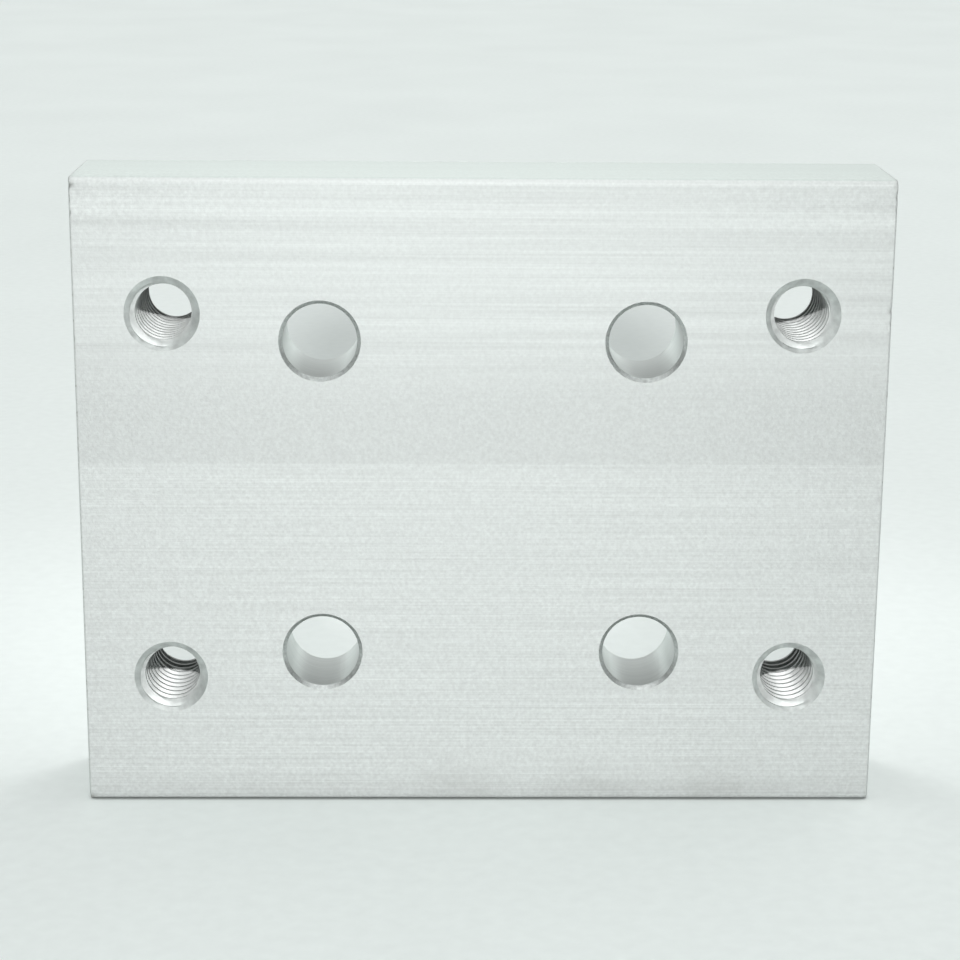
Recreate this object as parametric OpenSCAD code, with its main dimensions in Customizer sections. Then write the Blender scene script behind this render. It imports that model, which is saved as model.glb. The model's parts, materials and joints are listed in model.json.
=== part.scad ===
// Caster mounting plate, one solid piece of flat aluminium bar.
// The bar runs along X, its thickness along Y and its width up Z, and it stands on one long edge.
// The front face at -Y bolts to the end of a framing bar, and the back face at +Y takes the caster.

/* [Bar] */
// Length of bar sawn off for the plate, along X
plate_w = 95.25; // [86:0.05:140]
// Width of the bar, along Z
bar_h = 76.2; // [60:0.1:120]
// Thickness of the bar, along Y
bar_t = 15.875; // [9:0.125:30]
// Radius along the bar's four long edges
bar_edge_r = 0.9; // [0.3:0.05:3]
// Sharp edge taken off round the two sawn ends
saw_break = 0.2; // [0.05:0.05:0.8]

/* [Frame screw holes] */
// Distance between the frame screw holes along X
frame_pitch_x = 38.1; // [28:0.05:48]
// Distance between the frame screw holes along Z
frame_pitch_z = 38.1; // [24:0.05:56]
// Diameter of the clearance bore for the screw's shank
frame_bore_d = 8.731; // [5:0.001:12]
// Diameter of the counterbore that sinks the screw's head below the back face
frame_head_d = 14.288; // [13:0.001:20]
// Depth of that counterbore from the back face
frame_head_depth = 5.556; // [3:0.001:8]
// Deburring chamfer at both mouths of a frame screw hole
frame_deburr = 0.45; // [0.1:0.05:1]

/* [Caster screw holes] */
// Distance between the caster screw holes along X
caster_pitch_x = 74.613; // [68:0.001:82]
// Distance between the caster screw holes along Z
caster_pitch_z = 44.45; // [20:0.05:60]
// Diameter drilled for the tapped thread
caster_drill_d = 6.528; // [4:0.001:8.4]
// Diameter of the countersink at the front face
caster_sink_d = 8.84; // [8.5:0.01:12]
// Full angle of that countersink
caster_sink_angle = 90; // [60:1:120]
// Deburring chamfer at the back mouth of a caster screw hole
caster_deburr = 0.25; // [0.1:0.05:0.6]

/* [Hidden] */
aluminium = [0.86, 0.89, 0.88];
// How far a cutting shape runs past the surface that it cuts
overrun = 1;
frame_bore_r = frame_bore_d / 2;
frame_head_r = frame_head_d / 2;
caster_drill_r = caster_drill_d / 2;
caster_sink_r = caster_sink_d / 2;
// Radius that the countersink's cone gains for each unit of depth
caster_sink_slope = tan(caster_sink_angle / 2);
caster_sink_depth = (caster_sink_r - caster_drill_r) / caster_sink_slope;
$fn = 96;

// Rectangle centred on the origin with its four corners cut at 45 degrees
module broken_rectangle(size_x, size_y, corner) {
    half_x = size_x / 2;
    half_y = size_y / 2;
    polygon([
        [half_x - corner, -half_y],
        [half_x, corner - half_y],
        [half_x, half_y - corner],
        [half_x - corner, half_y],
        [corner - half_x, half_y],
        [-half_x, half_y - corner],
        [-half_x, corner - half_y],
        [corner - half_x, -half_y]
    ]);
}

// Rectangle centred on the origin with its four corners rounded
module rounded_rectangle(size_x, size_y, corner_r) {
    square([size_x, size_y - 2 * corner_r], center = true);
    square([size_x - 2 * corner_r, size_y], center = true);
    for (side_x = [-1, 1], side_y = [-1, 1])
        translate([side_x * (size_x / 2 - corner_r), side_y * (size_y / 2 - corner_r)])
            circle(r = corner_r);
}

// Sawn length of bar about the origin: its drawn section along X,
// with the saw's edges taken off in plan and in elevation
module sawn_bar() {
    intersection() {
        rotate([90, 0, 90])
            linear_extrude(height = plate_w, center = true)
                rounded_rectangle(bar_t, bar_h, bar_edge_r);
        linear_extrude(height = bar_h + 2 * overrun, center = true)
            broken_rectangle(plate_w, bar_t, saw_break);
        rotate([90, 0, 0])
            linear_extrude(height = bar_t + 2 * overrun, center = true)
                broken_rectangle(plate_w, bar_h, saw_break);
    }
}

// Clearance hole along +Z from the front face at Z = 0:
// chamfered mouth, bore for the shank, counterbore for the head
module frame_screw_hole() {
    seat = bar_t - frame_head_depth;
    rotate_extrude()
        polygon([
            [0, -overrun],
            [frame_bore_r + frame_deburr + overrun, -overrun],
            [frame_bore_r, frame_deburr],
            [frame_bore_r, seat],
            [frame_head_r, seat],
            [frame_head_r, bar_t - frame_deburr],
            [frame_head_r + frame_deburr + overrun, bar_t + overrun],
            [0, bar_t + overrun]
        ]);
}

// Tapping hole along +Z from the front face at Z = 0:
// countersunk mouth, drilled bore, chamfer at the back
module caster_screw_hole() {
    mouth_r = caster_sink_r + overrun * caster_sink_slope;
    rotate_extrude()
        polygon([
            [0, -overrun],
            [mouth_r, -overrun],
            [caster_drill_r, caster_sink_depth],
            [caster_drill_r, bar_t - caster_deburr],
            [caster_drill_r + caster_deburr + overrun, bar_t + overrun],
            [0, bar_t + overrun]
        ]);
}

// Repeats a hole at the corners of a rectangle centred on the plate,
// turned from +Z to run from the front face to the back
module at_corners(pitch_x, pitch_z) {
    for (side_x = [-1, 1], side_z = [-1, 1])
        translate([side_x * pitch_x / 2, -bar_t / 2, side_z * pitch_z / 2])
            rotate([-90, 0, 0])
                children();
}

// The whole plate, standing on its lower long edge with the origin below its middle
module plate() {
    color(aluminium)
        translate([0, 0, bar_h / 2])
            difference() {
                sawn_bar();
                at_corners(frame_pitch_x, frame_pitch_z)
                    frame_screw_hole();
                at_corners(caster_pitch_x, caster_pitch_z)
                    caster_screw_hole();
            }
}

plate();
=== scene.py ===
"""Caster mounting plate: the dressed surface of one sawn, drilled and tapped aluminium bar."""

import json
import math

import bmesh
import bpy
import numpy as np
from mathutils import Matrix, Vector


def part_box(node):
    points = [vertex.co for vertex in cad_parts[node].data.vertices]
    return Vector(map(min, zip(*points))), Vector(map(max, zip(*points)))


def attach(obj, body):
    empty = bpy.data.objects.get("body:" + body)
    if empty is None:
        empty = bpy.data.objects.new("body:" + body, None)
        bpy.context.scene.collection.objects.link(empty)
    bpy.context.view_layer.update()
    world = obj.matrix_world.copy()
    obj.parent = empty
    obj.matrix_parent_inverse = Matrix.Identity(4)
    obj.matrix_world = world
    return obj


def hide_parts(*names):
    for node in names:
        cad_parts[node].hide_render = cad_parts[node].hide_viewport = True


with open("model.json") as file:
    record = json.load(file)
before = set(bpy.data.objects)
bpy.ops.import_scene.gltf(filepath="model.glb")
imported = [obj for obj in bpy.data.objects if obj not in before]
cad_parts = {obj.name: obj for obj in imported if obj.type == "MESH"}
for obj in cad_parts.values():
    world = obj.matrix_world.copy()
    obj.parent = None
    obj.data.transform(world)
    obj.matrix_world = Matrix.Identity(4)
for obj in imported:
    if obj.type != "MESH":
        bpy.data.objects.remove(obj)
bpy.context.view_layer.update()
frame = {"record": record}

bl_info = {
    "name": "Caster mounting plate",
    "version": (1, 0, 0),
    "blender": (4, 5, 0),
    "location": "3D View > Sidebar > Plate",
    "description": "Builds a drilled and tapped caster mounting plate and its studio",
    "category": "Object",
}

MM = 0.001
LOW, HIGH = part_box("plate")
MOUNT_SIZES = {mount["name"]: mount["dims"] for mount in frame["record"]["mounts"]}
FRAME_BOLTS = MOUNT_SIZES["frame_bolts"]
CASTER_BOLTS = MOUNT_SIZES["caster_bolts"]
FRAME_BORE = MOUNT_SIZES["frame_hole_lower_left"]


def length(name, description, default, digits=3):
    """A size in metres that the sidebar shows in the scene's own length unit."""
    return bpy.props.FloatProperty(
        name=name, description=description, default=default, min=0.0, precision=digits, unit="LENGTH"
    )


def angle(name, description, degrees):
    """An angle that the sidebar shows in degrees."""
    return bpy.props.FloatProperty(
        name=name, description=description, default=math.radians(degrees), subtype="ANGLE"
    )


def colour(name, description, default):
    """A linear colour that the sidebar shows as a swatch."""
    return bpy.props.FloatVectorProperty(
        name=name, description=description, default=default, min=0.0, max=1.0, subtype="COLOR"
    )


class PlateSizes(bpy.types.PropertyGroup):
    """Sizes of the plate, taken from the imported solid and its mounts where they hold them"""

    width: length("Width", "Sawn length of the bar, along X", HIGH.x - LOW.x)
    height: length("Height", "Width of the bar, along Z", HIGH.z - LOW.z)
    thickness: length("Thickness", "Thickness of the bar, along Y", HIGH.y - LOW.y)
    edge_radius: length("Edge radius", "Radius along the bar's long edges", 0.9 * MM, 5)
    saw_break: length("Saw break", "Radius left round the sawn ends", 0.2 * MM, 5)
    frame_pitch_x: length(
        "Frame pitch X", "Frame screw holes apart, along X", FRAME_BOLTS["spacing_x_mm"] * MM
    )
    frame_pitch_z: length(
        "Frame pitch Z", "Frame screw holes apart, along Z", FRAME_BOLTS["spacing_y_mm"] * MM
    )
    frame_bore_radius: length(
        "Frame bore radius", "Clearance bore's radius", FRAME_BOLTS["hole_r_mm"] * MM, 5
    )
    frame_bore_length: length(
        "Frame bore length", "Plain wall of the clearance bore", FRAME_BORE["length_mm"] * MM, 5
    )
    frame_head_radius: length("Frame head radius", "Counterbore's radius", 7.144 * MM, 5)
    frame_deburr: length("Frame deburr", "Chamfer at the mouths of the clearance hole", 0.45 * MM, 5)
    caster_pitch_x: length(
        "Caster pitch X", "Caster screw holes apart, along X", CASTER_BOLTS["spacing_x_mm"] * MM
    )
    caster_pitch_z: length(
        "Caster pitch Z", "Caster screw holes apart, along Z", CASTER_BOLTS["spacing_y_mm"] * MM
    )
    caster_drill_radius: length(
        "Caster drill radius", "Thread's crest radius", CASTER_BOLTS["hole_r_mm"] * MM, 5
    )
    caster_sink_radius: length("Caster sink radius", "Countersink's radius at the front", 4.42 * MM, 5)
    caster_deburr: length("Caster deburr", "Chamfer at the back mouth of a caster hole", 0.25 * MM, 5)
    thread_radius: length("Thread radius", "Thread's root radius", 3.969 * MM, 5)
    thread_pitch: length("Thread pitch", "Advance of the right-hand thread in one turn", 25.4 / 18 * MM, 5)


class PlateColours(bpy.types.PropertyGroup):
    """Colours of the aluminium's finishes"""

    mill: colour("Mill finish", "Drawn faces of the bar", (0.675, 0.696, 0.688))
    narrow: colour("Narrow sides", "Duller drawn sides along the bar", (0.635, 0.680, 0.660))
    sawn: colour("Sawn ends", "Freshly cut ends", (0.78, 0.81, 0.80))
    drilled: colour("Drilled bores", "Walls of the clearance holes", (0.66, 0.69, 0.675))
    sunk: colour("Countersinks", "Chamfers at the mouths of the holes", (0.655, 0.68, 0.67))
    threaded: colour("Cut thread", "Flanks of the tapped thread", (0.62, 0.64, 0.63))
    deburred: colour("Deburred edges", "Dull edges round the sawn ends", (0.66, 0.68, 0.67))
    grime: colour("Grime", "Dirt in nicks and smudges", (0.20, 0.19, 0.17))


class StudioSettings(bpy.types.PropertyGroup):
    """The camera's place and the pale surround"""

    lens: bpy.props.FloatProperty(
        name="Lens", description="Focal length on a 36 mm sensor", default=90.39, min=1.0, unit="CAMERA"
    )
    camera_x: bpy.props.FloatProperty(
        name="Camera X", description="Camera's place along X", default=-5.50 * MM, unit="LENGTH"
    )
    camera_reach: length("Camera reach", "Camera's distance in front of the front face", 275.58 * MM)
    camera_height: length("Camera height", "Camera's height over the floor", 113.28 * MM)
    camera_pitch: angle("Camera pitch", "Tilt below the horizon", 14.79)
    camera_yaw: angle("Camera yaw", "Turn towards +X", 1.09)
    camera_roll: angle("Camera roll", "Roll about the line of sight", 0.44)
    cloth: colour("Cloth", "Pale cloth under and behind the plate", (0.84, 0.885, 0.87))


# Slots of the plate's material list
MILL, SAWN, DRILLED, THREADED, DEBURRED = range(5)
# Distance in metres under which two points of the mesh are one
WELD = 2e-6
# Angle between two faces past which their edge stays sharp
SHARP = math.radians(24.0)
# Steps along one side of a hole's cell, round a long edge, across the bar's thickness, round a broken
# edge and along each part of a clearance hole's profile
SIDE_STEPS = 32
ARC_STEPS = 8
ACROSS_STEPS = 10
BREAK_STEPS = 3
WALL_STEPS = 3
# Shares of the way from a hole's rim to its cell's border where the face has points
FACE_RINGS = np.array([0.0, 0.012, 0.12, 0.35, 0.65, 0.88, 0.965, 0.988, 1.0])
# Width of the flat strip that keeps a flat face's shading flat beside a round
SUPPORT = 0.1 * MM
# Turns a point of the bar's section into its twin on the other side of the thickness
MIRROR = np.array([-1, 1])

# Columns of holes from left to right: side of the plate, and whether they are tapped
HOLE_COLUMNS = ((-1, True), (-1, False), (1, False), (1, True))
# Angles round a hole, from its cell's lower left corner, anticlockwise seen from the front
ROUND = np.radians(-135.0) + np.linspace(0.0, 2.0 * np.pi, 4 * SIDE_STEPS + 1)
ROUND_POINTS = np.stack([np.cos(ROUND), np.sin(ROUND)], axis=1)
# Lean of a thread's flanks, and the flat at its root as a share of the pitch
FLANK_ANGLE = math.radians(30.0)
ROOT_SHARE = 1 / 8
# Where a thread's profile has points: root, flank, crest and flank each take up 1
THREAD_STOPS = np.array([0.0, 1.0, 1.33, 1.67, 2.0, 2.5, 3.0, 3.33, 3.67])
# How far each thread is turned from the lower left of its hole: lower row, then upper, left to right
THREAD_STARTS = np.radians([[150.0, 165.0], [140.0, 158.0]])

# Nicks on the sawn ends' front edges: side of the plate, height, reach along the edge and depth, in mm
NICKS = np.array([
    [-1, 75.25, 0.26, 0.14],
    [-1, 73.6, 0.14, 0.06],
    [-1, 72.1, 0.18, 0.10],
    [-1, 57.3, 0.16, 0.05],
    [-1, 0.25, 0.50, 0.12],
    [1, 74.3, 0.34, 0.06],
    [1, 72.9, 0.18, 0.05],
    [1, 61.0, 0.32, 0.08],
    [1, 59.6, 0.24, 0.06],
    [1, 0.2, 0.40, 0.08],
])
# Depth at which a nick is at its darkest
NICK_FULL = 0.20 * MM
# How many times closer the points lie at a nick, the reach of that crowding, and in how many places
# it is summed up
CROWDING = 12.0
CROWD_REACH = 0.6 * MM
CROWD_SAMPLES = 4001


class Shell:
    """Collects grids of points as one mesh: each grid adds its points, its quads and their finish."""

    def __init__(self):
        self.points = []
        self.quads = []
        self.finishes = []
        self.count = 0

    def add(self, grid, finish, flip=False):
        """Adds a grid of shape (rows, columns, 3). Its faces point along d(row) x d(column), or the
        other way where flip is set."""
        rows, columns = grid.shape[:2]
        index = self.count + np.arange(rows * columns).reshape(rows, columns)
        quads = np.stack([index[:-1, :-1], index[1:, :-1], index[1:, 1:], index[:-1, 1:]], axis=-1)
        quads = quads.reshape(-1, 4)
        self.points.append(grid.reshape(-1, 3))
        self.quads.append(quads[:, ::-1] if flip else quads)
        self.finishes.append(np.full(len(quads), finish, dtype=np.int32))
        self.count += rows * columns

    def mesh(self, name):
        """Puts the grids into one mesh, welds the seams where they meet and drops what has no area."""
        mesh = bpy.data.meshes.new(name)
        mesh.from_pydata(np.concatenate(self.points), [], np.concatenate(self.quads))
        mesh.polygons.foreach_set("material_index", np.concatenate(self.finishes))
        welded = bmesh.new()
        welded.from_mesh(mesh)
        bmesh.ops.remove_doubles(welded, verts=welded.verts, dist=WELD)
        bmesh.ops.dissolve_degenerate(welded, edges=welded.edges, dist=WELD)
        welded.to_mesh(mesh)
        welded.free()
        return mesh


def crowded(low, high, steps, centres, reach):
    """Heights from low to high that crowd at the centres: equal steps of the running sum of an even
    density plus a bell of the given reach at each centre."""
    fine = np.linspace(low, high, CROWD_SAMPLES)
    bells = np.exp(-(((fine[:, None] - centres[None, :]) / reach) ** 2)).sum(axis=1)
    density = 1.0 + CROWDING * bells
    running = np.concatenate([[0.0], np.cumsum((density[1:] + density[:-1]) / 2)])
    return np.interp(np.linspace(0.0, running[-1], steps + 1), running, fine)


class Layout:
    """Where the mesh's points lie along the plate: the hole cells and the samples of their borders."""

    def __init__(self, sizes):
        half_x = sizes.width / 2 - sizes.saw_break
        mid_x = (sizes.frame_pitch_x + sizes.caster_pitch_x) / 4
        columns = [-half_x, -mid_x, 0.0, mid_x, half_x]
        self.rows = [sizes.edge_radius, sizes.height / 2, sizes.height - sizes.edge_radius]
        self.along_x = [np.linspace(a, b, SIDE_STEPS + 1) for a, b in zip(columns, columns[1:])]
        even = [np.linspace(a, b, SIDE_STEPS + 1) for a, b in zip(self.rows, self.rows[1:])]
        self.up_z = [self.nicked_heights(-1), even, even, even, self.nicked_heights(1)]

    def nicked_heights(self, side):
        """Border heights on one sawn end, for each row of cells, crowded at that end's nicks."""
        centres = NICKS[NICKS[:, 0] == side, 1] * MM
        return [
            crowded(a, b, SIDE_STEPS, centres, CROWD_REACH)
            for a, b in zip(self.rows, self.rows[1:])
        ]

    def cell_border(self, column, row):
        """Closed border of one cell, from its lower left corner, anticlockwise seen from the front."""
        x = self.along_x[column]
        left = self.up_z[column][row]
        right = self.up_z[column + 1][row]
        low = np.stack([x[:-1], np.full(SIDE_STEPS, self.rows[row])], axis=1)
        up = np.stack([np.full(SIDE_STEPS, x[-1]), right[:-1]], axis=1)
        high = np.stack([x[:0:-1], np.full(SIDE_STEPS, self.rows[row + 1])], axis=1)
        down = np.stack([np.full(SIDE_STEPS, x[0]), left[:0:-1]], axis=1)
        border = np.concatenate([low, up, high, down])
        return np.concatenate([border, border[:1]])


def face_patch(border, rim):
    """Flat ring from a hole's rim to its cell's border: each point lies a share of the way along the
    line from the rim to the border."""
    share = FACE_RINGS[:, None, None]
    flat = (1.0 - share) * rim[:, [0, 2]] + share * border[None]
    return np.stack([flat[..., 0], np.full(flat.shape[:2], rim[0, 1]), flat[..., 1]], axis=-1)


def turned(centre, radius, y):
    """Wall round a hole's axis from arrays of radius and depth, given down the wall and round it."""
    x = centre[0] + radius * ROUND_POINTS[:, 0]
    z = centre[1] + radius * ROUND_POINTS[:, 1]
    return np.stack([x, y + 0.0 * x, z], axis=-1)


def frame_hole_wall(sizes, centre, front):
    """Clearance hole turned from its profile: chamfered mouth, bore, seat, counterbore, chamfer."""
    seat = sizes.frame_deburr + sizes.frame_bore_length
    corners = np.array([
        [sizes.frame_bore_radius + sizes.frame_deburr, 0.0],
        [sizes.frame_bore_radius, sizes.frame_deburr],
        [sizes.frame_bore_radius, seat],
        [sizes.frame_head_radius, seat],
        [sizes.frame_head_radius, sizes.thickness - sizes.frame_deburr],
        [sizes.frame_head_radius + sizes.frame_deburr, sizes.thickness],
    ])
    steps = np.linspace(0.0, len(corners) - 1.0, WALL_STEPS * (len(corners) - 1) + 1)
    radius = np.interp(steps, np.arange(len(corners)), corners[:, 0])
    depth = np.interp(steps, np.arange(len(corners)), corners[:, 1])
    return turned(centre, radius[:, None], front + depth[:, None])


def caster_hole_wall(sizes, centre, front, start):
    """Tapped hole: rows follow the right-hand helix, so a row's depth falls by one pitch in a turn
    anticlockwise, and start turns the whole thread. The radius is the largest of the countersink's cone
    at the front, the chamfer's at the back and the thread's own profile of root, flank, crest and flank.
    Depths past a face are held at it, and the thread keeps the radius at which it meets the back."""
    pitch = sizes.thread_pitch
    tall, deep = sizes.caster_drill_radius, sizes.thread_radius
    root = ROOT_SHARE * pitch
    flank = (deep - tall) * math.tan(FLANK_ANGLE)
    crest = pitch - root - 2 * flank
    edges = np.cumsum([0.0, root, flank, crest, flank])
    one_turn = np.interp(THREAD_STOPS, np.arange(len(edges)), edges)
    turns = math.ceil(sizes.thickness / pitch) + 2
    advance = (pitch * (np.arange(turns)[:, None] - 1) + one_turn[None]).ravel()
    helix = pitch * (ROUND - ROUND[0] - start) / (2.0 * np.pi)
    depth = np.clip(advance[:, None] - helix[None], 0.0, sizes.thickness)
    along = np.minimum(advance[:, None], sizes.thickness + helix[None])
    thread = np.interp(along % pitch, edges, [deep, deep, tall, tall, deep])
    sink = sizes.caster_sink_radius - depth
    chamfer = tall + sizes.caster_deburr - (sizes.thickness - depth)
    return turned(centre, np.maximum.reduce([thread, sink, chamfer]), front + depth)


def across_samples(sizes):
    """Places across the bar's thickness, between the arcs, with a narrow strip beside each arc."""
    half = sizes.thickness / 2 - sizes.edge_radius
    inner = np.linspace(SUPPORT - half, half - SUPPORT, ACROSS_STEPS - 1)
    return np.concatenate([[-half], inner, [half]])


def section_loop(sizes, heights, inset):
    """Closed loop round the bar's section at one end, drawn in by inset: up the front, over the top,
    down the back and along the bottom, with an arc at each corner."""
    radius = sizes.edge_radius - inset
    half = sizes.thickness / 2 - sizes.edge_radius
    low, high = sizes.edge_radius, sizes.height - sizes.edge_radius
    arc = np.linspace(0.0, np.pi / 2, ARC_STEPS + 1)
    across = across_samples(sizes)
    front = np.stack([np.full(len(heights), -half - radius), heights], axis=1)
    top_front = np.stack([-half - radius * np.cos(arc), high + radius * np.sin(arc)], axis=1)
    top = np.stack([across, np.full(len(across), high + radius)], axis=1)
    bottom_back = np.stack([half + radius * np.cos(arc), low - radius * np.sin(arc)], axis=1)
    bottom = np.stack([across[::-1], np.full(len(across), low - radius)], axis=1)
    back, top_back, bottom_front = (part[::-1] * MIRROR for part in (front, top_front, bottom_back))
    rest = (top_front, top, top_back, back, bottom_back, bottom, bottom_front)
    return np.concatenate([front] + [part[1:] for part in rest])


def coons(bottom, top, left, right):
    """Flat patch between four border curves: the two ruled patches added, less the bilinear one."""
    u = np.linspace(0.0, 1.0, len(bottom))[:, None, None]
    v = np.linspace(0.0, 1.0, len(left))[None, :, None]
    ruled_up = (1 - v) * bottom[:, None] + v * top[:, None]
    ruled_across = (1 - u) * left[None] + u * right[None]
    corners = (1 - u) * ((1 - v) * left[0] + v * left[-1]) + u * ((1 - v) * right[0] + v * right[-1])
    return ruled_up + ruled_across - corners


def at_x(loop, x):
    """Lifts points of the section into space at one place along the bar."""
    return np.stack([np.full(loop.shape[:-1], x), loop[..., 0], loop[..., 1]], axis=-1)


def add_end(shell, sizes, heights, side):
    """Sawn end: the section's loop rounded in over the saw break, then a flat patch across it."""
    turn = np.linspace(0.0, np.pi / 2, BREAK_STEPS + 1)
    insets = sizes.saw_break * (1 - np.cos(turn))
    places = sizes.width / 2 - sizes.saw_break * (1 - np.sin(turn))
    insets = np.append(insets, sizes.saw_break + SUPPORT)
    places = np.append(places, sizes.width / 2)
    loops = [at_x(section_loop(sizes, heights, i), side * x) for i, x in zip(insets, places)]
    shell.add(np.stack(loops[:-1]), DEBURRED, flip=side < 0)
    shell.add(np.stack(loops[-2:]), SAWN, flip=side < 0)
    tall = len(heights) - 1 + ARC_STEPS
    wide = ACROSS_STEPS + ARC_STEPS
    ring = np.roll(section_loop(sizes, heights, insets[-1])[:-1], ARC_STEPS // 2, axis=0)
    ring = np.concatenate([ring, ring[:1]])
    front = ring[: tall + 1]
    top = ring[tall : tall + wide + 1]
    back = ring[tall + wide : 2 * tall + wide + 1][::-1]
    bottom = ring[2 * tall + wide :][::-1]
    shell.add(at_x(coons(bottom, top, front, back), side * sizes.width / 2), SAWN, flip=side < 0)


def add_long_edges(shell, sizes, layout):
    """Top and bottom of the bar: the section's profile, front to back, carried along X."""
    x = np.concatenate([layout.along_x[0]] + [part[1:] for part in layout.along_x[1:]])
    heights = np.array([sizes.edge_radius, sizes.height - sizes.edge_radius])
    loop = section_loop(sizes, heights, 0.0)
    steps = 2 * ARC_STEPS + ACROSS_STEPS
    for first in (1, steps + 2):
        profile = loop[first : first + steps + 1]
        section = np.broadcast_to(profile, (len(x),) + profile.shape)
        along = np.broadcast_to(x[:, None, None], section.shape[:2] + (1,))
        shell.add(np.concatenate([along, section], axis=-1), MILL)


def nick_depths(sizes, points):
    """Depth of each nick at each point: a bell about the nick's place on the front edge."""
    side, height, reach, depth = (NICKS * [1, MM, MM, MM]).T
    front = -sizes.thickness / 2
    centres = np.stack([side * sizes.width / 2, np.full(len(side), front), height], axis=1)
    away = ((points[:, None] - centres[None]) ** 2).sum(axis=2)
    return depth * np.exp(-away / reach**2), side


def press_nicks(mesh, sizes):
    """Presses the nicks into the mesh, inwards across the edge, and stores how deep each point went."""
    points = np.empty(len(mesh.vertices) * 3)
    mesh.vertices.foreach_get("co", points)
    points = points.reshape(-1, 3)
    depths, side = nick_depths(sizes, points)
    points[:, 0] -= (depths * side).sum(axis=1)
    points[:, 1] += depths.sum(axis=1)
    mesh.vertices.foreach_set("co", points.ravel())
    store = mesh.attributes.new("nick", "FLOAT", "POINT")
    store.data.foreach_set("value", (depths.sum(axis=1) / NICK_FULL).astype(np.float32))
    mesh.update()


def plate_mesh(sizes):
    """The plate's whole surface: faces round the holes, hole walls, long edges and sawn ends."""
    shell = Shell()
    layout = Layout(sizes)
    front = -sizes.thickness / 2
    for column, (side, tapped) in enumerate(HOLE_COLUMNS):
        pitch_x = sizes.caster_pitch_x if tapped else sizes.frame_pitch_x
        pitch_z = sizes.caster_pitch_z if tapped else sizes.frame_pitch_z
        for row, level in enumerate((-1, 1)):
            centre = (side * pitch_x / 2, sizes.height / 2 + level * pitch_z / 2)
            border = layout.cell_border(column, row)
            if tapped:
                wall = caster_hole_wall(sizes, centre, front, THREAD_STARTS[row][int(side > 0)])
            else:
                wall = frame_hole_wall(sizes, centre, front)
            shell.add(wall, THREADED if tapped else DRILLED, flip=True)
            shell.add(face_patch(border, wall[0]), MILL)
            shell.add(face_patch(border, wall[-1]), MILL, flip=True)
    add_long_edges(shell, sizes, layout)
    for side, heights in ((-1, layout.up_z[0]), (1, layout.up_z[-1])):
        add_end(shell, sizes, np.concatenate([heights[0], heights[1][1:]]), side)
    mesh = shell.mesh("plate_surface")
    press_nicks(mesh, sizes)
    mesh.shade_smooth()
    mesh.set_sharp_from_angle(angle=SHARP)
    return mesh


# Sockets of a Mix node when it mixes colours: the one below, the one laid over it and the result
MIX_UNDER, MIX_OVER, MIX_RESULT = 6, 7, 2
# How far apart the heights 0 and 1 of a metal's bump are
BUMP_DISTANCE = 0.05 * MM


class Wiring:
    """A node tree being wired: each call adds one node, sets its values and links its inputs."""

    def __init__(self, tree):
        self.tree = tree
        tree.nodes.clear()

    def add(self, kind, inputs=None, **settings):
        """Adds a node. An input given as a socket is linked, and any other is set as a value."""
        node = self.tree.nodes.new(kind)
        for name, value in settings.items():
            setattr(node, name, value)
        for name, value in (inputs or {}).items():
            if isinstance(value, bpy.types.NodeSocket):
                self.tree.links.new(value, node.inputs[name])
            else:
                node.inputs[name].default_value = value
        return node

    def math(self, operation, first, second=0.0, third=0.0, clamp=False):
        """One arithmetic node's result."""
        inputs = {0: first, 1: second, 2: third}
        return self.add("ShaderNodeMath", inputs, operation=operation, use_clamp=clamp).outputs[0]

    def plus(self, first, second, clamp=False):
        """first + second"""
        return self.math("ADD", first, second, clamp=clamp)

    def times(self, first, second, clamp=False):
        """first * second"""
        return self.math("MULTIPLY", first, second, clamp=clamp)

    def times_plus(self, first, second, added):
        """first * second + added"""
        return self.math("MULTIPLY_ADD", first, second, added)

    def parts(self, vector):
        """A vector's X, Y and Z, by name."""
        return self.add("ShaderNodeSeparateXYZ", {0: vector}).outputs

    def between(self, value, low, high, start=0.0, end=1.0, smooth=False):
        """Maps low..high to start..end and holds the ends."""
        inputs = {"Value": value, "From Min": low, "From Max": high, "To Min": start, "To Max": end}
        kind = "SMOOTHSTEP" if smooth else "LINEAR"
        return self.add("ShaderNodeMapRange", inputs, interpolation_type=kind).outputs["Result"]

    def noise(self, place, stretch, detail=2.0, roughness=0.5):
        """Noise about 0 with features 1 / stretch metres long, where stretch is one number or has one
        for each axis."""
        scale = stretch if isinstance(stretch, tuple) else (stretch, stretch, stretch)
        stretched = self.add("ShaderNodeMapping", {"Vector": place, "Scale": scale}).outputs[0]
        inputs = {"Vector": stretched, "Scale": 1.0, "Detail": detail, "Roughness": roughness}
        noise = self.add("ShaderNodeTexNoise", inputs)
        return self.math("SUBTRACT", noise.outputs["Fac"], 0.5)

    def shaded(self, base, tone):
        """Base colour made lighter or darker by tone about 1."""
        inputs = {0: base if isinstance(base, bpy.types.NodeSocket) else tuple(base), "Scale": tone}
        return self.add("ShaderNodeVectorMath", inputs, operation="SCALE").outputs[0]

    def laid(self, base, colour_over, share):
        """Base colour with another laid over it where share is 1."""
        under = base if isinstance(base, bpy.types.NodeSocket) else (*base, 1.0)
        inputs = {"Factor": share, MIX_UNDER: under, MIX_OVER: (*colour_over, 1.0)}
        return self.add("ShaderNodeMix", inputs, data_type="RGBA").outputs[MIX_RESULT]

    def metal(self, base, roughness, height, bump):
        """Bare metal with the given colour and roughness, its normals turned by the height."""
        normal = self.add("ShaderNodeBump", {"Height": height, "Strength": bump, "Distance": BUMP_DISTANCE})
        shader = self.add(
            "ShaderNodeBsdfPrincipled",
            {"Base Color": base, "Roughness": roughness, "Metallic": 1.0, "Normal": normal.outputs[0]},
        )
        self.add("ShaderNodeOutputMaterial", {"Surface": shader.outputs[0]})
        return shader


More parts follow.
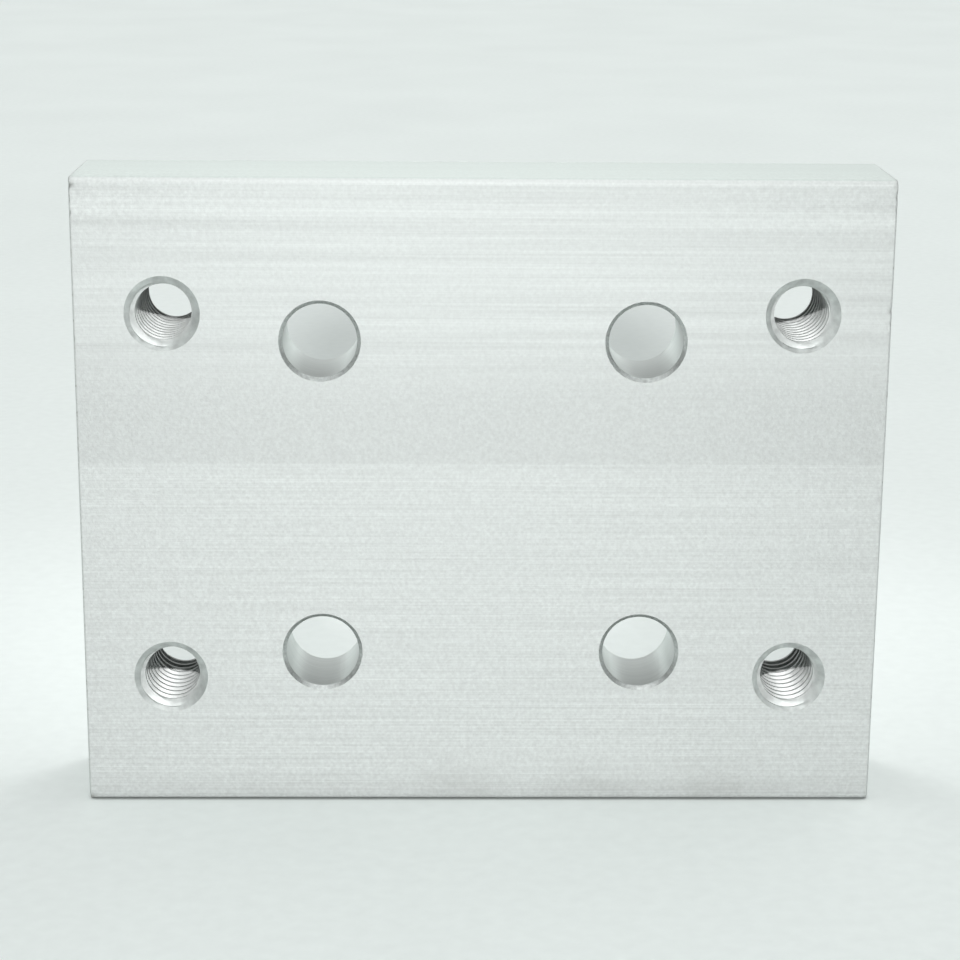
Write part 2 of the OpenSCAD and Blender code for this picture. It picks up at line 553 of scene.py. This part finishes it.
def new_material(name):
    """An empty node material and its wiring."""
    material = bpy.data.materials.new(name)
    material.use_nodes = True
    return material, Wiring(material.node_tree)


def nicked(wire):
    """How deep in a nick the surface lies, up to 1 where the nick is at its darkest."""
    return wire.add("ShaderNodeAttribute", attribute_name="nick").outputs["Fac"]


# Each finish below names its marks by features per metre, then the places between which they set in or
# fade, then by how much they change the metal: its tone about 1, its roughness and its bump

# Drawn lines on the faces: fine, broad and hair-fine
FINE_LINES = (24.0, 2400.0, 2400.0)
BROAD_LINES = (7.0, 520.0, 520.0)
HAIRLINES = (26.0, 4800.0, 4800.0)
# Heights between which fine and broad lines set in, and hairlines ease from their strength at the foot
DRAWN_RISE = (48 * MM, 58 * MM)
HAIR_RISE = (12 * MM, 34 * MM)
# Share of the fine and broad lines that is left below, and what hairlines lose where those are strong
DRAWN_LEAST = 0.18
FINE_TONE = 0.16
BROAD_TONE = 0.23
HAIR_TONE = 0.20
HAIR_LOSS = 0.12
HAIR_FOOT = 1.25
HAIR_HEIGHT = 0.4


def drawn_lines(wire, place, height, upper, hair):
    """Lines along the bar: fine and broad ones where upper is near 1, over hairlines that are weaker
    there and stronger at the foot."""
    fine = wire.noise(place, FINE_LINES)
    broad = wire.noise(place, BROAD_LINES)
    drawn = wire.times_plus(fine, FINE_TONE, wire.times(broad, BROAD_TONE))
    hairs = wire.times(hair, wire.times_plus(upper, -HAIR_LOSS, HAIR_TONE))
    hairs = wire.times(hairs, wire.between(height, *HAIR_RISE, HAIR_FOOT, 1.0))
    return wire.times_plus(drawn, upper, hairs)


# Stains on the front: their mottle, the heights and the distances from the middle between which they
# set in, their tone, and the share of it that is left in the middle
STAIN_MOTTLE = 2200.0
STAIN_RISE = (66 * MM, 73 * MM)
STAIN_OUT = (20 * MM, 42 * MM)
STAIN_TONE = 0.22
STAIN_MIDDLE = 0.2


def stains(wire, place, axes):
    """Faint mottled stains that grow towards the upper corners."""
    mottle = wire.noise(place, STAIN_MOTTLE, roughness=0.6)
    raised = wire.times(mottle, wire.between(axes["Z"], *STAIN_RISE, 0.0, STAIN_TONE))
    away = wire.math("ABSOLUTE", axes["X"])
    return wire.times(raised, wire.between(away, *STAIN_OUT, STAIN_MIDDLE, 1.0))


# Smudges on the front by the lower edge: where each lies along the bar and how far it reaches, in mm
SMUDGES = ((-3.0, 7.0), (13.5, 8.0), (29.0, 9.0))
# The blotches that break them up, the noise between which a blotch sets in and what is left outside it
SMUDGE_BLOTCHES = (300.0, 300.0, 420.0)
BLOTCH_RISE = (-0.2, 0.2)
BLOTCH_LEAST = 0.2
# Heights between which the smudges fade out, and their share of grime
SMUDGE_FADE = (1.0 * MM, 7.0 * MM)
SMUDGE_DIRT = 0.13


def smudges(wire, place, axes, front):
    """Faint finger marks on the front by the lower edge: soft bells along the bar, broken up by noise."""
    noise = wire.noise(place, SMUDGE_BLOTCHES, detail=3.0)
    blotches = wire.between(noise, *BLOTCH_RISE, BLOTCH_LEAST, 1.0)
    marks = 0.0
    for centre, reach in SMUDGES:
        away = wire.math("ABSOLUTE", wire.math("SUBTRACT", axes["X"], centre * MM))
        marks = wire.plus(wire.between(away, 0.0, reach * MM, 1.0, 0.0, smooth=True), marks)
    low = wire.between(axes["Z"], *SMUDGE_FADE, SMUDGE_DIRT, 0.0, smooth=True)
    return wire.times(blotches, wire.times(wire.times(low, marks), front))


# Grain on the drawn faces, its full strength and what it loses where the drawn lines are strong
MILL_GRAIN = 2700.0
GRAIN_FULL = 1.08
GRAIN_LOSS = 0.45
GRAIN_TONE = 0.41
GRAIN_ROUGH = 0.20
# Share of the thickness, ahead of the middle, over which the marks on the front fade out
FRONT_FADE = 0.2
# The smoother band: heights of its sharp lower edge and its soft upper end, and the lines that it hides
BAND_EDGE = (42.35 * MM, 42.55 * MM)
BAND_FADE = (48 * MM, 60 * MM)
BAND_HUSH = 0.85
BAND_TONE = -0.055
# Heights over which the painted shade at the front's foot ends
FOOT_SHADE_FADE = (0.5 * MM, 4.5 * MM)
FOOT_SHADE_TONE = -0.07
# How far a face looks up or down, from 0 to 1, where the marks grow calm, where the painted highlight on
# the rounded long edges sets in and ends, and where the narrow sides' own colour sets in
CALM_RISE = (0.5, 0.9)
ROUND_HIGHLIGHT_RISE = (0.15, 0.40)
ROUND_HIGHLIGHT_FADE = (0.75, 0.92)
NARROW_RISE = (0.82, 0.97)
# Share of the lines that is left where they are calm, and of the grain where no line would be left
CALM_LINES = 0.22
CALM_GRAIN = 0.5
ROUND_HIGHLIGHT_TONE = 0.03
MILL_DIRT = 0.7
MILL_ROUGH = 0.80
MILL_BUMP = 0.7
MILL_ANISOTROPY = 0.5


def mill_finish(colours, sizes):
    """Drawn faces: lines along the bar, broad near the top and hair-fine below, a smoother greyer band
    across the front with a sharp lower edge, grain all over, calmer duller narrow sides between rounded
    edges with a painted highlight, faint stains in the upper corners, painted shade at the front's foot,
    smudges by the lower edge and grime in the nicks."""
    material, wire = new_material("mill_finish")
    coordinates = wire.add("ShaderNodeTexCoord").outputs
    place = coordinates["Object"]
    axes = wire.parts(place)
    facing = wire.math("ABSOLUTE", wire.parts(coordinates["Normal"])["Z"])
    front = wire.between(axes["Y"], -FRONT_FADE * sizes.thickness, 0.0, 1.0, 0.0)
    calm = wire.between(facing, *CALM_RISE, 1.0, CALM_LINES)
    upper = wire.between(axes["Z"], *DRAWN_RISE, DRAWN_LEAST, 1.0, smooth=True)
    band = wire.between(axes["Z"], *BAND_FADE, 1.0, 0.0, smooth=True)
    band = wire.times(wire.times(wire.between(axes["Z"], *BAND_EDGE), band), front)
    hair = wire.noise(place, HAIRLINES, detail=1.0)
    lines = drawn_lines(wire, place, axes["Z"], upper, hair)
    lines = wire.times(wire.times(lines, wire.times_plus(band, -BAND_HUSH, 1.0)), calm)
    grain = wire.noise(place, MILL_GRAIN, roughness=0.6)
    grain = wire.times(grain, wire.times_plus(upper, -GRAIN_LOSS, GRAIN_FULL))
    grain = wire.times(grain, wire.between(calm, 0.0, 1.0, CALM_GRAIN, 1.0))
    tone = wire.plus(lines, wire.times_plus(grain, GRAIN_TONE, 1.0))
    tone = wire.times_plus(band, BAND_TONE, tone)
    tone = wire.times_plus(stains(wire, place, axes), front, tone)
    # Painted highlight: the rounded long edges are made lighter
    round_highlight = wire.between(facing, *ROUND_HIGHLIGHT_FADE, ROUND_HIGHLIGHT_TONE, 0.0)
    tone = wire.times_plus(wire.between(facing, *ROUND_HIGHLIGHT_RISE), round_highlight, tone)
    # Painted shade: the front darkens towards its foot
    foot = wire.between(axes["Z"], *FOOT_SHADE_FADE, FOOT_SHADE_TONE, 0.0, smooth=True)
    tone = wire.times_plus(foot, front, tone)
    dirt = wire.times(nicked(wire), MILL_DIRT)
    dirt = wire.plus(dirt, smudges(wire, place, axes, front), clamp=True)
    base = wire.laid(colours.mill, colours.narrow, wire.between(facing, *NARROW_RISE))
    base = wire.laid(wire.shaded(base, tone), colours.grime, dirt)
    rough = wire.times_plus(grain, GRAIN_ROUGH, MILL_ROUGH)
    height = wire.times_plus(hair, HAIR_HEIGHT, grain)
    shader = wire.metal(base, rough, height, MILL_BUMP)
    shader.inputs["Anisotropic"].default_value = MILL_ANISOTROPY
    across = wire.add("ShaderNodeTangent", direction_type="RADIAL", axis="X").outputs[0]
    wire.tree.links.new(across, shader.inputs["Tangent"])
    return material


# Sawn ends: the arcs and the grain, how far ahead of the plate the blade's centre lies, and how much
# the arcs change along their length
SAW_ARCS = 2600.0
SAW_GRAIN = 6000.0
BLADE_REACH = 110 * MM
ARC_DRIFT = 0.01
ARC_TONE = 0.22
ARC_ROUGH = 0.2
ARC_BUMP = 0.5
SAW_GRAIN_TONE = 0.08
SAWN_DIRT = 0.75
SAWN_ROUGH = 0.36


def sawn_finish(colours, sizes):
    """Sawn ends: arcs left by the blade about a far centre, over fine grain."""
    material, wire = new_material("sawn_finish")
    place = wire.add("ShaderNodeTexCoord").outputs["Object"]
    axes = wire.parts(place)
    blade = (0.0, -BLADE_REACH, sizes.height / 2)
    flat = wire.add("ShaderNodeCombineXYZ", {"Y": axes["Y"], "Z": axes["Z"]}).outputs[0]
    away = wire.add("ShaderNodeVectorMath", {0: flat, 1: blade}, operation="DISTANCE").outputs["Value"]
    drift = wire.times(axes["Z"], ARC_DRIFT)
    on_arc = wire.add("ShaderNodeCombineXYZ", {"X": away, "Z": drift}).outputs[0]
    arcs = wire.noise(on_arc, SAW_ARCS)
    grain = wire.noise(place, SAW_GRAIN, detail=1.0)
    dirt = wire.times(nicked(wire), SAWN_DIRT, clamp=True)
    tone = wire.times_plus(grain, SAW_GRAIN_TONE, wire.times_plus(arcs, ARC_TONE, 1.0))
    base = wire.laid(wire.shaded(colours.sawn, tone), colours.grime, dirt)
    wire.metal(base, wire.times_plus(arcs, ARC_ROUGH, SAWN_ROUGH), arcs, ARC_BUMP)
    return material


# Filed edges round the sawn ends: the patches, the noise between which dirt sets in, and its share
FILE_PATCHES = 900.0
PATCH_RISE = (0.04, 0.25)
PATCH_DIRT = 0.6
PATCH_TONE = 0.3
PATCH_ROUGH = 0.2
PATCH_BUMP = 0.3
FILED_DIRT = 0.7
FILED_ROUGH = 0.5


def deburred_finish(colours):
    """Edges broken with a file: dull, and darker in patches where dirt has stayed."""
    material, wire = new_material("deburred_finish")
    place = wire.add("ShaderNodeTexCoord").outputs["Object"]
    patches = wire.noise(place, FILE_PATCHES, detail=3.0, roughness=0.7)
    dirt = wire.times(nicked(wire), FILED_DIRT)
    dirt = wire.plus(dirt, wire.between(patches, *PATCH_RISE, 0.0, PATCH_DIRT), clamp=True)
    tone = wire.times_plus(patches, PATCH_TONE, 1.0)
    base = wire.laid(wire.shaded(colours.deburred, tone), colours.grime, dirt)
    wire.metal(base, wire.times_plus(patches, PATCH_ROUGH, FILED_ROUGH), patches, PATCH_BUMP)
    return material


# Clearance holes: the drill's rings, the specks on the chamfers, the depths over which the wall's painted
# shade gives way and its tone at both, the roughness of wall and chamfer, and the share of the chamfer's
# depth at which its finish is full
DRILL_RINGS = (160.0, 4200.0, 160.0)
SPECKS = 2600.0
WALL_SHADE_RISE = (0.0, 9 * MM)
WALL_SHADE_TONES = (0.76, 1.12)
RING_TONE = 0.30
RING_ROUGH = 0.16
RING_BUMP = 0.25
SPECK_TONE = 0.8
DRILLED_ROUGH = (0.32, 0.40)
CHAMFER_FULL = 0.9


def drilled_finish(colours, sizes):
    """Drilled walls: fine rings left by the drill's turns, painted shade that darkens them towards the
    front, and brighter speckled chamfers at both mouths."""
    material, wire = new_material("drilled_finish")
    place = wire.add("ShaderNodeTexCoord").outputs["Object"]
    across = wire.parts(place)["Y"]
    half = sizes.thickness / 2
    depth = wire.plus(across, half)
    away = wire.math("ABSOLUTE", across)
    mouth = wire.between(away, half - sizes.frame_deburr, half - CHAMFER_FULL * sizes.frame_deburr)
    rings = wire.noise(place, DRILL_RINGS)
    # Painted shade: the wall darkens towards the front
    tone = wire.times_plus(rings, RING_TONE, wire.between(depth, *WALL_SHADE_RISE, *WALL_SHADE_TONES))
    specks = wire.times(wire.noise(place, SPECKS), mouth)
    base = wire.laid(wire.shaded(colours.drilled, tone), colours.sunk, mouth)
    base = wire.shaded(base, wire.times_plus(specks, SPECK_TONE, 1.0))
    rough = wire.times_plus(rings, RING_ROUGH, wire.between(mouth, 0.0, 1.0, *DRILLED_ROUGH))
    wire.metal(base, rough, rings, RING_BUMP)
    return material


# Tapped holes: lines along the cut and the countersink's mottle
CUT_LINES = (1100.0, 1700.0, 1100.0)
SINK_MOTTLE = (800.0, 300.0, 800.0)
# Shares of the countersink's depth between which its own finish ends
SINK_FADE = (0.6, 1.0)
# Depths between which painted shade sets in on the last turns and on the sides, what is left of the tone
# in the last turns, what the sides lose, and how far a flank that counts as a side looks up
DEEP_SHADE_RISE = (11.5 * MM, 13 * MM)
DEEP_SHADE_TONE = 0.65
SIDE_SHADE_RISE = (3 * MM, 8 * MM)
SIDE_SHADE_LOSS = 0.45
SIDE_SHADE_FADE = (0.05, 0.40)
CUT_TONE = 0.75
CUT_ROUGH = 0.10
CUT_BUMP = 0.30
MOTTLE_TONE = 0.9
# Roughness and share of bare metal of the thread and of its countersink
THREADED_ROUGH = (0.50, 0.66)
THREADED_METAL = (0.35, 1.0)


def threaded_finish(colours, sizes):
    """Cut thread: dull flanks with faint lines along the cut, painted shade on the deeper sides and in the
    last turns, and a brighter mottled countersink at the front."""
    material, wire = new_material("threaded_finish")
    coordinates = wire.add("ShaderNodeTexCoord").outputs
    place = coordinates["Object"]
    depth = wire.plus(wire.parts(place)["Y"], sizes.thickness / 2)
    facing = wire.parts(coordinates["Normal"])["Z"]
    sink = sizes.caster_sink_radius - sizes.caster_drill_radius
    mouth = wire.between(depth, SINK_FADE[0] * sink, SINK_FADE[1] * sink, 1.0, 0.0)
    lines = wire.noise(place, CUT_LINES, detail=3.0, roughness=0.6)
    # Painted shade: the last turns and the deeper sides that look away from the lamp are darkened
    thread_shade = wire.between(depth, *DEEP_SHADE_RISE, 1.0, DEEP_SHADE_TONE)
    deep = wire.between(depth, *SIDE_SHADE_RISE, 0.0, SIDE_SHADE_LOSS)
    sides = wire.times(deep, wire.between(facing, *SIDE_SHADE_FADE, 1.0, 0.0))
    thread_shade = wire.math("SUBTRACT", thread_shade, wire.times(sides, thread_shade))
    tone = wire.times_plus(lines, CUT_TONE, thread_shade)
    mottle = wire.times(wire.noise(place, SINK_MOTTLE, detail=3.0), mouth)
    base = wire.laid(wire.shaded(colours.threaded, tone), colours.sunk, mouth)
    base = wire.shaded(base, wire.times_plus(mottle, MOTTLE_TONE, 1.0))
    rough = wire.times_plus(lines, CUT_ROUGH, wire.between(mouth, 0.0, 1.0, *THREADED_ROUGH))
    shader = wire.metal(base, rough, lines, CUT_BUMP)
    wire.tree.links.new(wire.between(mouth, 0.0, 1.0, *THREADED_METAL), shader.inputs["Metallic"])
    return material


class CASTERPLATE_OT_plate(bpy.types.Operator):
    """Build the sawn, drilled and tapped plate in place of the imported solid"""

    bl_idname = "caster_plate.build_plate"
    bl_label = "Build plate"

    def execute(self, context):
        sizes = context.scene.plate_sizes
        colours = context.scene.plate_colours
        mesh = plate_mesh(sizes)
        for material in (
            mill_finish(colours, sizes),
            sawn_finish(colours, sizes),
            drilled_finish(colours, sizes),
            threaded_finish(colours, sizes),
            deburred_finish(colours),
        ):
            mesh.materials.append(material)
        plate = bpy.data.objects.new("caster_plate", mesh)
        context.scene.collection.objects.link(plate)
        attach(plate, "root")
        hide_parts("plate")
        return {"FINISHED"}


# Cloth: its weave and its soft unevenness, by features per metre, and their tones
CLOTH_WEAVE = 480.0
CLOTH_CLOUDS = (15.0, 11.0, 11.0)
WEAVE_TONE = 0.085
CLOUD_TONE = 0.08
WEAVE_BUMP = 0.2
WEAVE_DISTANCE = 0.1 * MM
# Painted shade at the plate's foot: how far from it the cloth darkens, the openness over which it does,
# and its tone there
PAINTED_SHADE_REACH = 1.0 * MM
PAINTED_SHADE_OPEN = (0.30, 0.70)
PAINTED_SHADE_TONE = 0.45
PAINTED_SHADE_SAMPLES = 8
CLOTH_ROUGH = 0.95
CLOTH_GLOSS = 0.1
# The cloth's run, in metres: how far it goes in front and to the sides, where its flat part has a row of
# points, where it starts to bend up behind the plate, the bend's radius and how far round it goes
CLOTH_FRONT = -4.0
CLOTH_SIDE = 3.0
CLOTH_ROW = -0.5
CLOTH_BEND = 1.7
CLOTH_RADIUS = 0.80
CLOTH_TURN = math.radians(52.0)
BEND_STEPS = 32
CLOTH_SIDE_STEPS = 8


def cloth_finish(cloth):
    """Pale matt cloth with a faint weave and soft unevenness, and painted shade where the plate shuts it
    in.
    """
    material, wire = new_material("studio_cloth")
    place = wire.add("ShaderNodeTexCoord").outputs["Object"]
    weave = wire.noise(place, CLOTH_WEAVE, detail=3.0)
    clouds = wire.noise(place, CLOTH_CLOUDS)
    tone = wire.times_plus(clouds, CLOUD_TONE, wire.times_plus(weave, WEAVE_TONE, 1.0))
    # Painted shade: the cloth darkens where the plate shuts it in
    occlusion = wire.add(
        "ShaderNodeAmbientOcclusion", {"Distance": PAINTED_SHADE_REACH}, samples=PAINTED_SHADE_SAMPLES
    )
    tone = wire.times(tone, wire.between(occlusion.outputs["AO"], *PAINTED_SHADE_OPEN, PAINTED_SHADE_TONE, 1.0))
    normal = wire.add(
        "ShaderNodeBump", {"Height": weave, "Strength": WEAVE_BUMP, "Distance": WEAVE_DISTANCE}
    )
    shader = wire.add(
        "ShaderNodeBsdfPrincipled",
        {
            "Base Color": wire.shaded(cloth, tone),
            "Roughness": CLOTH_ROUGH,
            "Specular IOR Level": CLOTH_GLOSS,
            "Normal": normal.outputs[0],
        },
    )
    wire.add("ShaderNodeOutputMaterial", {"Surface": shader.outputs[0]})
    return material


def cloth_sweep():
    """Cloth at the plate's foot that bends up behind it: a straight run and an arc, carried along X."""
    arc = np.linspace(0.0, CLOTH_TURN, BEND_STEPS + 1)
    run = np.concatenate([[CLOTH_FRONT, CLOTH_ROW], CLOTH_BEND + CLOTH_RADIUS * np.sin(arc)])
    rise = np.concatenate([[0.0, 0.0], CLOTH_RADIUS * (1.0 - np.cos(arc))])
    side = np.linspace(-CLOTH_SIDE, CLOTH_SIDE, CLOTH_SIDE_STEPS + 1)
    shell = Shell()
    shell.add(np.stack(np.broadcast_arrays(side[:, None], run[None], rise[None]), axis=-1), 0)
    mesh = shell.mesh("cloth_sweep")
    mesh.shade_smooth()
    return mesh


# Lamps: name, kind, place and aim in metres, side of a square panel in metres or the angle that a sun
# fills, power in watts or a sun's strength, and the object that takes its light
LAMPS = (
    ("key_panel", "AREA", (-0.012, -0.36, 0.235), (0.0, 0.0, 0.04), 0.012, 1.48, "caster_plate"),
    ("top_panel", "AREA", (0.0, 0.60, 1.25), (0.0, 0.0, 0.0), 0.80, 0.25, "caster_plate"),
    ("front_sun", "SUN", (-0.06, -3.0, 0.74), (0.0, 0.0, 0.04), 0.10, 4.05, "studio_cloth"),
    ("back_panel", "AREA", (0.35, 0.60, 1.25), (0.0, 0.0, 0.0), 0.80, 1.1, "studio_cloth"),
    ("rear_panel", "AREA", (0.0, 0.055, 0.09), (0.0, 0.055, 0.0), 0.03, 0.025, "studio_cloth"),
)
# Light from all round: its strength overhead, at the horizon behind and at the horizon in front, how
# far back the horizon lies where the one gives way to the other, how far the ceiling leans back, and
# the sines of the elevations between which its light sets in
CEILING = 0.85
HORIZON_BACK = 0.54
HORIZON_FRONT = 0.04
HORIZON_RISE = (-0.8, 0.4)
CEILING_LEAN = math.radians(8.0)
CEILING_RISE = (0.60, 0.80)
SURROUND = (0.97, 1.0, 0.99)
# The camera's sensor, in mm, and the nearest thing that it sees
SENSOR = 36.0
NEAREST = 10 * MM


class CASTERPLATE_OT_stage(bpy.types.Operator):
    """Build the pale cloth sweep, the soft lamps and the camera"""

    bl_idname = "caster_plate.build_stage"
    bl_label = "Build stage"

    def execute(self, context):
        scene = context.scene
        studio = scene.plate_studio
        self.add_cloth(scene, studio)
        self.add_surround(scene)
        self.add_lamps(scene)
        self.add_camera(scene, studio)
        scene.view_settings.view_transform = "Standard"
        return {"FINISHED"}

    @staticmethod
    def add_cloth(scene, studio):
        """Cloth under and behind the plate."""
        mesh = cloth_sweep()
        mesh.materials.append(cloth_finish(studio.cloth))
        cloth = bpy.data.objects.new("studio_cloth", mesh)
        scene.collection.objects.link(cloth)

    @staticmethod
    def add_surround(scene):
        """Even light from all round: a bright ceiling over a horizon that is dimmer in front."""
        scene.world = bpy.data.worlds.new("studio_surround")
        scene.world.use_nodes = True
        wire = Wiring(scene.world.node_tree)
        axes = wire.parts(wire.add("ShaderNodeTexCoord").outputs["Generated"])
        horizon = wire.between(axes["Y"], *HORIZON_RISE, HORIZON_FRONT, HORIZON_BACK, smooth=True)
        lean = wire.times(axes["Y"], math.sin(CEILING_LEAN))
        height = wire.times_plus(axes["Z"], math.cos(CEILING_LEAN), lean)
        ceiling = wire.between(height, *CEILING_RISE, smooth=True)
        strength = wire.times_plus(wire.math("SUBTRACT", CEILING, horizon), ceiling, horizon)
        surround = wire.add("ShaderNodeBackground", {"Color": (*SURROUND, 1.0), "Strength": strength})
        wire.add("ShaderNodeOutputWorld", {"Surface": surround.outputs[0]})

    @staticmethod
    def add_lamps(scene):
        """Soft panels and a low sun, each of which lights the plate or the cloth alone."""
        lit = {}
        for name in ("caster_plate", "studio_cloth"):
            lit[name] = bpy.data.collections.new(name + "_lamps")
            lit[name].objects.link(bpy.data.objects[name])
        for name, kind, place, aim, spread, power, target in LAMPS:
            light = bpy.data.lights.new(name, kind)
            setattr(light, "angle" if kind == "SUN" else "size", spread)
            light.energy = power
            lamp = bpy.data.objects.new(name, light)
            lamp.location = place
            lamp.rotation_euler = (Vector(aim) - Vector(place)).to_track_quat("-Z", "Y").to_euler()
            lamp.light_linking.receiver_collection = lit[target]
            scene.collection.objects.link(lamp)

    @staticmethod
    def add_camera(scene, studio):
        """Camera turned from looking along +Y by its yaw, pitch and roll."""
        lens = bpy.data.cameras.new("camera")
        lens.lens = studio.lens
        lens.sensor_width = SENSOR
        lens.sensor_fit = "HORIZONTAL"
        lens.clip_start = NEAREST
        camera = bpy.data.objects.new("camera", lens)
        pitch, yaw, roll = studio.camera_pitch, studio.camera_yaw, studio.camera_roll
        forward = Vector((
            math.sin(yaw) * math.cos(pitch),
            math.cos(yaw) * math.cos(pitch),
            -math.sin(pitch),
        ))
        right = Vector((math.cos(yaw), -math.sin(yaw), 0.0))
        up = right.cross(forward)
        across = right * math.cos(roll) + up * math.sin(roll)
        above = up * math.cos(roll) - right * math.sin(roll)
        turn = Matrix((across, above, -forward)).transposed().to_4x4()
        place = (studio.camera_x, LOW.y - studio.camera_reach, studio.camera_height)
        camera.matrix_world = Matrix.Translation(place) @ turn
        scene.collection.objects.link(camera)
        scene.camera = camera


class CASTERPLATE_PT_sidebar(bpy.types.Panel):
    """Sizes, colours and the two builders"""

    bl_idname = "CASTERPLATE_PT_sidebar"
    bl_label = "Caster mounting plate"
    bl_space_type = "VIEW_3D"
    bl_region_type = "UI"
    bl_category = "Plate"

    def draw(self, context):
        for group in (context.scene.plate_sizes, context.scene.plate_colours, context.scene.plate_studio):
            box = self.layout.box()
            for name in group.__annotations__:
                box.prop(group, name)
        self.layout.operator(CASTERPLATE_OT_plate.bl_idname)
        self.layout.operator(CASTERPLATE_OT_stage.bl_idname)


CLASSES = (
    PlateSizes,
    PlateColours,
    StudioSettings,
    CASTERPLATE_OT_plate,
    CASTERPLATE_OT_stage,
    CASTERPLATE_PT_sidebar,
)


def register():
    """Registers the classes and hangs their settings on the scene."""
    for item in CLASSES:
        bpy.utils.register_class(item)
    bpy.types.Scene.plate_sizes = bpy.props.PointerProperty(type=PlateSizes)
    bpy.types.Scene.plate_colours = bpy.props.PointerProperty(type=PlateColours)
    bpy.types.Scene.plate_studio = bpy.props.PointerProperty(type=StudioSettings)


def unregister():
    """Takes the settings off the scene and unregisters the classes."""
    del bpy.types.Scene.plate_studio
    del bpy.types.Scene.plate_colours
    del bpy.types.Scene.plate_sizes
    for item in reversed(CLASSES):
        bpy.utils.unregister_class(item)


def main():
    """Builds the plate and its stage."""
    register()
    bpy.ops.caster_plate.build_plate()
    bpy.ops.caster_plate.build_stage()


if __name__ == "__main__":
    main()
